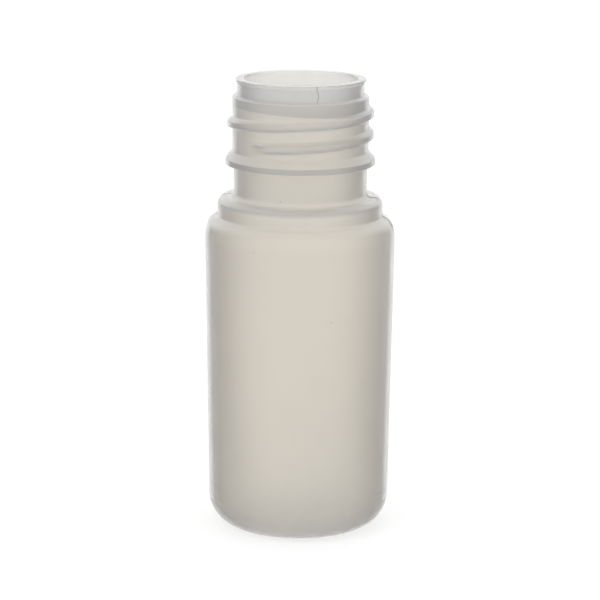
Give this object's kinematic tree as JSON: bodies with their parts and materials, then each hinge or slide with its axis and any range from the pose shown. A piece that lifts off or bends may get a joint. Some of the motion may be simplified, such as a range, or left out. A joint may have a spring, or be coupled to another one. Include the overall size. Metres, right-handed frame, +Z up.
{
  "type": "plastic bottle",
  "caption": "Small round milky plastic bottle, one blow moulding with an open mouth, a right-hand screw neck, a tamper bead, a collar and a slightly tapered body.",
  "frame": {"origin": "centre of the ring that the bottle stands on, at the base plane", "axes": "+Z up along the bottle's axis, through the mouth; the mould's parting line lies in the XZ plane"},
  "size_m": [0.036, 0.036, 0.0858],
  "materials": {
    "milky_plastic": "natural translucent polyolefin, satin blow-moulded surface"
  },
  "bodies": {
    "root": {"bottle": "milky_plastic"}
  },
  "joints": []
}
